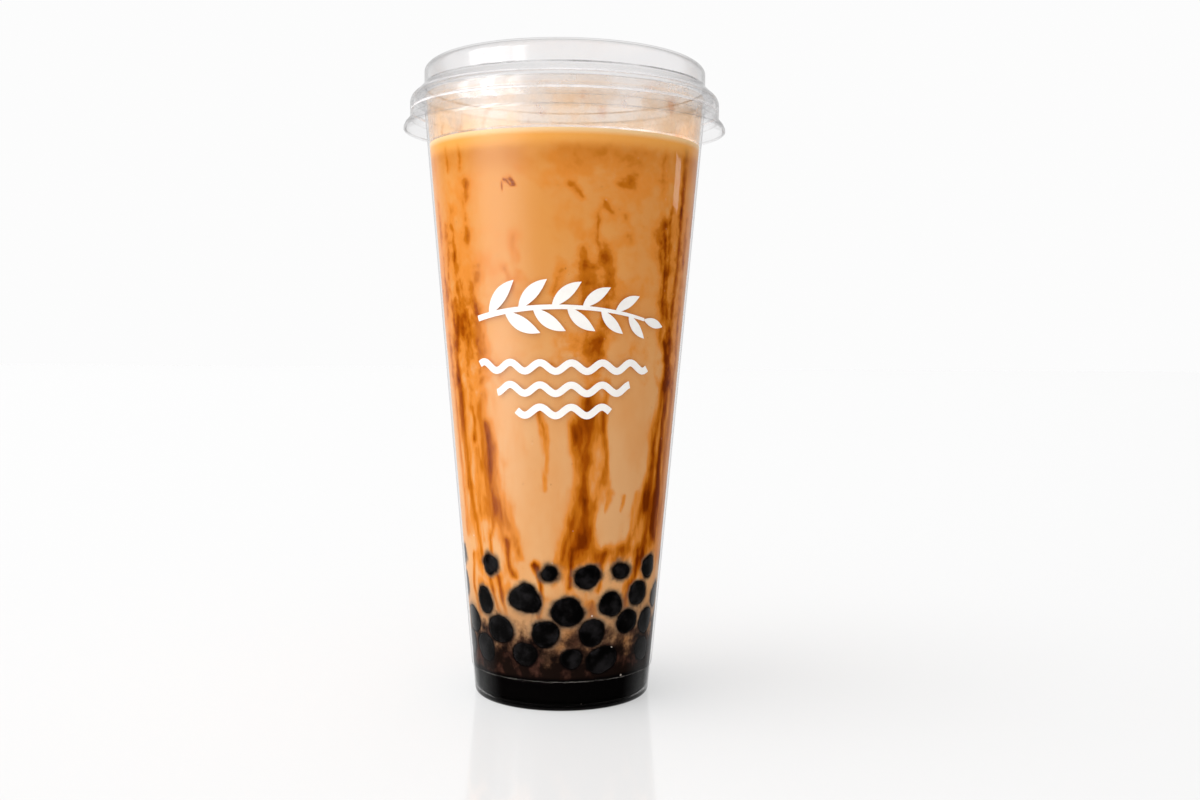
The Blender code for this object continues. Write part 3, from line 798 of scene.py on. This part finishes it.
def makeTea(pearls):
    v = teaValues
    into = v["intoWall"]
    heights = list(np.arange(v["level"] - v["meniscus"], v["fineTop"], -v["coarseStep"]))
    heights += list(np.arange(v["fineTop"], v["bottom"] + 2 * mm, -v["fineStep"]))
    topRadius = innerRadius(v["level"])
    outline = [(0, v["level"] - v["meniscus"]), (topRadius - 6 * mm, v["level"] - v["meniscus"])]
    outline += [(topRadius - 2.5 * mm, v["level"] - 0.75 * v["meniscus"])]
    outline += [(topRadius - 0.8 * mm, v["level"] - 0.25 * v["meniscus"]), (topRadius + into, v["level"])]
    outline += [(innerRadius(z) + into, z) for z in heights]
    outline += [(innerRadius(v["bottom"]) - 1.2 * mm, v["bottom"]), (0, v["bottom"])]
    piece = spunMesh("milkTea", outline, v["sides"])
    points = np.empty(len(piece.data.vertices) * 3)
    piece.data.vertices.foreach_get("co", points)
    points = points.reshape(-1, 3)
    haze, vein = paintSyrup(points)
    show, away = paintPearls(points, pearls)
    for name, values in (("syrupHaze", haze), ("syrupVein", vein), ("pearlShow", show), ("pearlAway", away)):
        layer = piece.data.attributes.new(name, "FLOAT", "POINT")
        layer.data.foreach_set("value", values.astype(np.float32))
    piece.data.materials.append(teaLook())
    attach(piece, "root")
    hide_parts("milk_tea")


# Print: a plain sprig of leaves over three waves, in white ink on the wall

printValues = {
    "proud": 0.07 * mm, "line": 2.1 * mm,
    "branchStart": (-27.5 * mm, 118.5 * mm), "branchHeading": 15, "branchBend": -15, "branchLength": 53 * mm,
    "leafPairs": 5, "leafLength": 13.5 * mm, "leafWidth": 4.3 * mm, "leafLean": 50,
    "waveHeights": (104.5 * mm, 98 * mm, 91.5 * mm), "waveWidths": (27 * mm, 20.5 * mm, 14 * mm),
    "waveLength": 9.2 * mm, "waveRise": 1.25 * mm, "waveSteps": 90,
    "stemSteps": 48, "stemTaper": (0.42, 0.2), "leafShrink": 0.38, "leafTurn": 1.95, "leafBend": 11,
    "leafTip": 0.05 * mm, "thickness": 0.05 * mm,
    "wearNoise": (500.0, 4.0), "wear": (0.3, 0.8), "gloss": 0.02, "roughness": 0.35,
    "ink": linear(255, 252, 247), "wornInk": linear(251, 246, 240),
}


def whiteInk():
    v = printValues
    sheet = NodeSheet("white ink")
    worn = sheet.step(sheet.noise(sheet.place(), *v["wearNoise"]), *v["wear"])
    matte = sheet.shader("Diffuse", {"Color": sheet.mix(worn, v["ink"], v["wornInk"])})
    gloss = sheet.shader("Glossy", {"Color": white, "Roughness": v["roughness"]})
    return sheet.finish(sheet.blend(v["gloss"], matte, gloss))


def flatRibbon(shape, middle, halfWidth):
    # a strip along middle points (across, up), tapering as halfWidth says, laid flat at y = 0
    lefts, rights = [], []
    for i, point in enumerate(middle):
        before, after = middle[max(i - 1, 0)], middle[min(i + 1, len(middle) - 1)]
        along = Vector((after[0] - before[0], after[1] - before[1])).normalized()
        across = Vector((-along.y, along.x)) * halfWidth(i / (len(middle) - 1))
        lefts.append(shape.verts.new((point[0] + across.x, 0, point[1] + across.y)))
        rights.append(shape.verts.new((point[0] - across.x, 0, point[1] - across.y)))
    for i in range(len(middle) - 1):
        shape.faces.new((rights[i], rights[i + 1], lefts[i + 1], lefts[i]))


def leafLine(root, turn, length, bend, steps=14):
    points = []
    for i in range(steps + 1):
        t = i / steps
        heading = math.radians(turn + bend * t)
        points.append((root[0] + length * t * math.cos(heading), root[1] + length * t * math.sin(heading)))
    return points


def makePrint():
    v = printValues
    shape = bmesh.new()
    steps = v["stemSteps"]
    stem = leafLine(v["branchStart"], v["branchHeading"], v["branchLength"], v["branchBend"], steps)
    thick, taper = v["stemTaper"]
    flatRibbon(shape, stem, lambda t: v["line"] * (thick - taper * t))
    for i in range(v["leafPairs"] * 2 + 1):
        share = 0.1 + 0.9 * i / (v["leafPairs"] * 2)
        side = 0 if share > 0.99 else (-1) ** i            # the last leaf ends the branch
        size = v["leafLength"] * (1.0 - v["leafShrink"] * share)
        heading = v["branchHeading"] + v["branchBend"] * share * v["leafTurn"] + side * v["leafLean"]
        leaf = leafLine(stem[min(int(share * steps), steps)], heading, size, -side * v["leafBend"])
        half = size / v["leafLength"] * v["leafWidth"] / 2
        flatRibbon(shape, leaf, lambda t: v["leafTip"] + half * math.sin(math.pi * min(t * 1.02, 1)) ** 0.8)
    steps = v["waveSteps"]
    for height, width in zip(v["waveHeights"], v["waveWidths"]):
        across = [-width + 2 * width * i / steps for i in range(steps + 1)]
        wave = [(x, height + v["waveRise"] * math.sin(x / v["waveLength"] * math.tau)) for x in across]
        flatRibbon(shape, wave, lambda t: v["line"] * 0.5)
    shape.normal_update()
    bmesh.ops.solidify(shape, geom=shape.faces[:], thickness=v["thickness"])
    for p in shape.verts:                                  # lay the flat drawing round the wall
        base = wallRadius(p.co.z)
        turn = p.co.x / base
        away = base + v["proud"] + p.co.y
        p.co = Vector((away * math.sin(turn), -away * math.cos(turn), p.co.z))
    if shape.calc_volume(signed=True) < 0:                 # laying it round mirrors the drawing
        bmesh.ops.reverse_faces(shape, faces=shape.faces)
    piece = pieceFromShape("whitePrint", shape)
    piece.data.materials.append(whiteInk())
    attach(piece, "root")


# Floor, light and camera

studioValues = {
    "focal": 38.70, "distance": 412.48 * mm, "height": 113.96 * mm,
    "tilt": 0.0505, "roll": 0.0072, "pan": 0.0284,
    "backdrop": 0.975,               # what the camera sees behind the object
    "ambient": 1.12, "ambientLean": 0.75,            # soft light from all round, far less from the right
    # what shiny surfaces see: the back, dimmer to the right, and hardly anything in front of the object
    "behind": 0.9, "infront": 0.006, "backFrom": (0.42, 0.97), "backLevel": 0.82, "backLean": 0.18,
    "lowGlow": (-0.36, -0.27, 0.55, 0.0), "lowFrom": (-0.1, 0.6),
    # the window at the left, with its brighter upper part behind bars; turns are in radians
    "window": 2.4, "windowTurn": ((-1.7, -1.1), (-1.05, -0.3, 1.0, 0.0)), "windowFoot": (-0.36, -0.14),
    "windowTop": (0.6, 0.75, 1.0, 0.0),
    "skylight": 4.0, "skyFrom": (0.08, 0.2), "bars": 17.0, "barEdges": (-0.5, 0.8),
    "floor": 4.0, "floorGrey": (0.38, 0.38, 0.38, 1),
    "floorGlow": 0.5, "floorSheen": 0.14, "floorGloss": 0.09,
    "sun": 0.9, "sunSize": 42, "sunTurn": 72, "sunLean": 0.52, "sunDrop": 0.85,
    "card": {"azimuth": 108, "height": 178 * mm, "away": 0.8, "size": (0.11, 0.045), "power": 0.032},
}


def makeFloor():
    v = studioValues
    shape = bmesh.new()
    bmesh.ops.create_grid(shape, x_segments=2, y_segments=2, size=v["floor"])
    floor = pieceFromShape("floor", shape)
    sheet = NodeSheet("white floor")
    matte = sheet.shader("Diffuse", {"Color": v["floorGrey"]})
    glow = sheet.add("ShaderNodeEmission", {"Color": white, "Strength": v["floorGlow"]}).outputs[0]
    sheen = sheet.shader("Glossy", {"Color": white, "Roughness": v["floorGloss"]})
    pale = sheet.add("ShaderNodeAddShader", {0: matte, 1: glow}).outputs[0]
    floor.data.materials.append(sheet.finish(sheet.blend(v["floorSheen"], pale, sheen)))
    floor.visible_glossy = False


def cardLamp(name, azimuth, height, away, size, power):
    # a card of light that shows in reflections alone; azimuth 0 is towards the camera, positive to its right
    turn = math.radians(azimuth)
    spot = Vector((away * math.sin(turn), -away * math.cos(turn), height))
    target = Vector((0, 0, min(height, 100 * mm)))
    light = bpy.data.lights.new(name, "AREA")
    light.shape = "RECTANGLE"
    light.size, light.size_y = size
    light.energy = power
    lamp = newObject(name, light)
    lamp.location = spot
    lamp.rotation_euler = (target - spot).to_track_quat("-Z", "Y").to_euler()
    lamp.visible_diffuse = False
    lamp.visible_camera = False


def makeWorld():
    # white to the eye, even light on matte surfaces, and for reflections a bright back, a dim front and a
    # tall window at the left
    v = studioValues
    sheet = NodeSheet("studio", world=True)
    toward = sheet.add("ShaderNodeTexCoord").outputs["Generated"]
    across, deep, up = sheet.add("ShaderNodeSeparateXYZ", {0: toward}).outputs
    path = sheet.add("ShaderNodeLightPath")

    turn = sheet.math("ARCTAN2", across, sheet.times(deep, -1.0))
    leftEnd, rightEnd = v["windowTurn"]
    inWindow = sheet.times(sheet.step(turn, *rightEnd), sheet.step(turn, *leftEnd))
    bars = sheet.step(sheet.math("SINE", sheet.times(turn, v["bars"])), *v["barEdges"])
    sky = sheet.times(sheet.step(up, *v["skyFrom"]), sheet.times(bars, v["skylight"]))
    pane = sheet.math("ADD", sheet.times(sheet.step(up, *v["windowFoot"]), v["window"]), sky)
    pane = sheet.times(pane, sheet.step(up, *v["windowTop"]))
    back = sheet.step(deep, *v["backFrom"], v["infront"], v["behind"])
    low = sheet.times(sheet.step(up, *v["lowGlow"]), sheet.step(deep, *v["lowFrom"]))
    lean = sheet.math("SUBTRACT", v["backLevel"], sheet.times(across, v["backLean"]))
    back = sheet.times(sheet.math("MAXIMUM", back, low), lean)
    shine = sheet.math("ADD", back, sheet.times(inWindow, pane))

    lean = sheet.math("SUBTRACT", 1.0, sheet.times(across, v["ambientLean"]))
    ambient = sheet.times(lean, v["ambient"])
    seen = sheet.mix(path.outputs["Is Glossy Ray"], ambient, shine)
    seen = sheet.mix(path.outputs["Is Camera Ray"], seen, (v["backdrop"],) * 3 + (1,))
    world = sheet.finish(sheet.add("ShaderNodeBackground", {"Color": seen}).outputs[0])
    world.cycles.sampling_method = "NONE"
    bpy.context.scene.world = world


def makeCamera():
    v = studioValues
    camera = newObject("camera", bpy.data.cameras.new("camera"))
    camera.data.sensor_width = 36.0
    camera.data.lens = v["focal"]
    camera.data.clip_start = 0.01
    pan, tilt, roll = v["pan"], v["tilt"], v["roll"]
    ahead = Vector((math.sin(pan), math.cos(pan), 0))
    right = Vector((math.cos(pan), -math.sin(pan), 0))
    forward = ahead * math.cos(tilt) - Vector((0, 0, 1)) * math.sin(tilt)
    up = ahead * math.sin(tilt) + Vector((0, 0, 1)) * math.cos(tilt)
    side = right * math.cos(roll) + up * math.sin(roll)
    top = up * math.cos(roll) - right * math.sin(roll)
    turned = Matrix((side, top, -forward)).transposed()
    camera.matrix_world = Matrix.Translation((0, -v["distance"], v["height"])) @ turned.to_4x4()
    bpy.context.scene.camera = camera


def makeLights():
    v = studioValues
    sun = bpy.data.lights.new("keyLight", "SUN")
    sun.energy = v["sun"]
    sun.angle = math.radians(v["sunSize"])
    key = newObject("keyLight", sun)
    turn = math.radians(v["sunTurn"])
    towards = Vector((math.sin(turn) * v["sunLean"], math.cos(turn) * v["sunLean"], -v["sunDrop"]))
    key.rotation_euler = towards.to_track_quat("-Z", "Y").to_euler()
    key.visible_glossy = False
    cardLamp("smallCard", **v["card"])
    bpy.context.scene.view_settings.view_transform = "Standard"


makeCamera()
makeWorld()
makeLights()
makeFloor()
print("studio ready")
makeCup()
makeLid()
print("cup and lid ready")
pearls = settledPearls(pearlPlaces())
makePearls(pearls)
print("pearls ready")
makeTea(pearls)
print("drink ready")
makePrint()
print("print ready")
